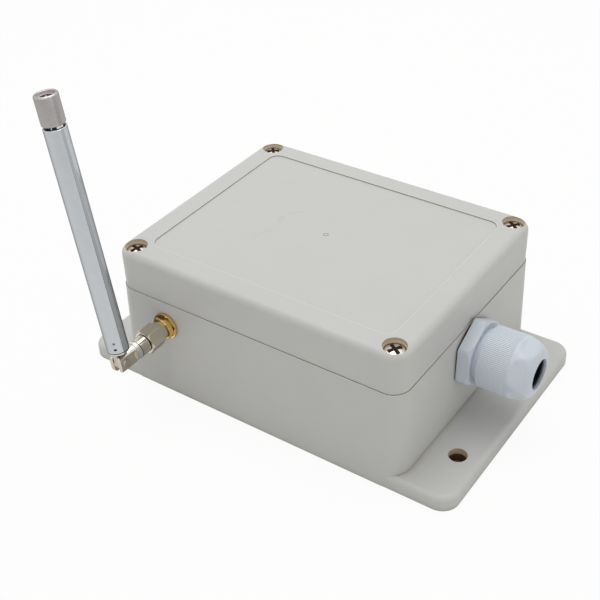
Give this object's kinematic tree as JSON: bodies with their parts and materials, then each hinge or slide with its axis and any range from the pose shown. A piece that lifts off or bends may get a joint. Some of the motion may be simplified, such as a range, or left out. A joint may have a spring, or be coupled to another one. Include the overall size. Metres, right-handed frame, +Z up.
{
  "type": "garage door controller",
  "caption": "Garage door radio controller: screwed plastic enclosure with mounting ears, a cable gland and a folding telescopic antenna on a coaxial connector.",
  "frame": {"origin": "centre of the flat underside that lies on the wall or table", "axes": "+Z up out of the underside, +X along the box towards the cable gland, -Y towards the antenna"},
  "size_m": [0.1594, 0.1207, 0.1248],
  "materials": {
    "case_plastic": "fine moulded satin, warm light grey",
    "gasket_rubber": "matt",
    "screw_steel": "nickel-plated steel",
    "insert_brass": "machined brass",
    "gland_nylon": "pale bluish nylon, satin",
    "claw_nylon": "pale nylon, satin",
    "gland_rubber": "matt black",
    "gold_plate": "gold-plated brass",
    "ptfe": "white PTFE",
    "nickel_plate": "nickel-plated brass, turned",
    "bright_washer": "bright nickel",
    "tube_chrome": "polished chrome over brass",
    "cap_nickel": "satin nickel",
    "board_green": "solder mask over glass epoxy",
    "terminal_green": "moulded",
    "tinned_metal": "tinned",
    "relay_blue": "moulded",
    "radio_blue": "solder mask over glass epoxy",
    "coax_brown": "fluoropolymer jacket",
    "black_epoxy": "moulded epoxy",
    "capacitor_sleeve": "shrunk sleeve",
    "ferrite": "ground ferrite",
    "fuse_glass": "clear glass",
    "led_red": "diffused epoxy",
    "button_red": "moulded"
  },
  "bodies": {
    "case": {"enclosure_base": "case_plastic", "enclosure_lid": "case_plastic", "lid_gasket": "gasket_rubber", "lid_screws": "screw_steel", "lid_inserts": "insert_brass", "gland_body": "gland_nylon", "gland_face_seal": "gland_rubber", "gland_locknut": "gland_nylon", "sma_jack": "gold_plate", "sma_insulator": "ptfe", "sma_contact": "gold_plate", "sma_washer": "gold_plate", "sma_hex_nut": "gold_plate", "plug_body": "nickel_plate", "plug_insulator": "ptfe", "plug_contact": "gold_plate", "circuit_board": "board_green", "board_screws": "screw_steel", "terminal_block": "terminal_green", "terminal_screws": "tinned_metal", "relays": "relay_blue", "relay_pins": "tinned_metal", "radio_board": "radio_blue", "radio_shield": "tinned_metal", "aerial_socket": "gold_plate", "coax_pigtail": "coax_brown", "microcontroller": "black_epoxy", "quartz_crystal": "tinned_metal", "supply_capacitors": "capacitor_sleeve", "power_choke": "ferrite", "fuse": "fuse_glass", "fuse_clips": "tinned_metal", "status_leds": "led_red", "learn_switch": "black_epoxy"},
    "gland_insert": {"gland_claw": "claw_nylon", "gland_seal_bush": "gland_rubber"},
    "gland_nut": {"gland_dome_nut": "gland_nylon"},
    "coupling": {"coupling_nut": "nickel_plate"},
    "swivel": {"swivel_washer": "bright_washer", "elbow": "nickel_plate", "pivot_pin": "nickel_plate"},
    "mast": {"antenna_base": "nickel_plate", "antenna_tube_1": "tube_chrome"},
    "section_2": {"antenna_tube_2": "tube_chrome"},
    "section_3": {"antenna_tube_3": "tube_chrome"},
    "section_4": {"antenna_tube_4": "tube_chrome"},
    "tip": {"antenna_rod": "tube_chrome", "antenna_cap": "cap_nickel"},
    "button": {"learn_button": "button_red"}
  },
  "joints": [
    {"name": "gland_nut_travel", "type": "slide", "parent": "case", "child": "gland_insert", "axis": [1, 0, 0], "range_m": [-0.00187, 0.003]},
    {"name": "gland_nut_turn", "type": "hinge", "parent": "gland_insert", "child": "gland_nut", "pos_m": [0.0715, 0, 0.0279], "axis": [1, 0, 0], "range_deg": [-451, 721]},
    {"name": "coupling_nut_spin", "type": "hinge", "parent": "case", "child": "coupling", "pos_m": [-0.0363, -0.0535, 0.0296], "axis": [0, -1, 0], "continuous": true},
    {"name": "elbow_swivel", "type": "hinge", "parent": "case", "child": "swivel", "pos_m": [-0.0363, -0.0635, 0.0296], "axis": [0, -1, 0], "continuous": true},
    {"name": "antenna_tilt", "type": "hinge", "parent": "swivel", "child": "mast", "pos_m": [-0.0363, -0.06973, 0.0296], "axis": [0.9903, 0, 0.1392], "range_deg": [0, 90]},
    {"name": "section_2_slide", "type": "slide", "parent": "mast", "child": "section_2", "axis": [-0.1392, 0, 0.9903], "range_m": [0, 0.062]},
    {"name": "section_3_slide", "type": "slide", "parent": "section_2", "child": "section_3", "axis": [-0.1392, 0, 0.9903], "range_m": [0, 0.0612]},
    {"name": "section_4_slide", "type": "slide", "parent": "section_3", "child": "section_4", "axis": [-0.1392, 0, 0.9903], "range_m": [0, 0.0601]},
    {"name": "tip_slide", "type": "slide", "parent": "section_4", "child": "tip", "axis": [-0.1392, 0, 0.9903], "range_m": [0, 0.059]},
    {"name": "learn_press", "type": "slide", "parent": "case", "child": "button", "axis": [0, 0, -1], "range_m": [0, 0.00025], "stiffness_N_per_m": 2000, "springref_m": -0.0003}
  ],
  "couplings": [
    {"joint": "gland_nut_turn", "follows": "gland_nut_travel", "rad_per_m": 4188.8}
  ]
}
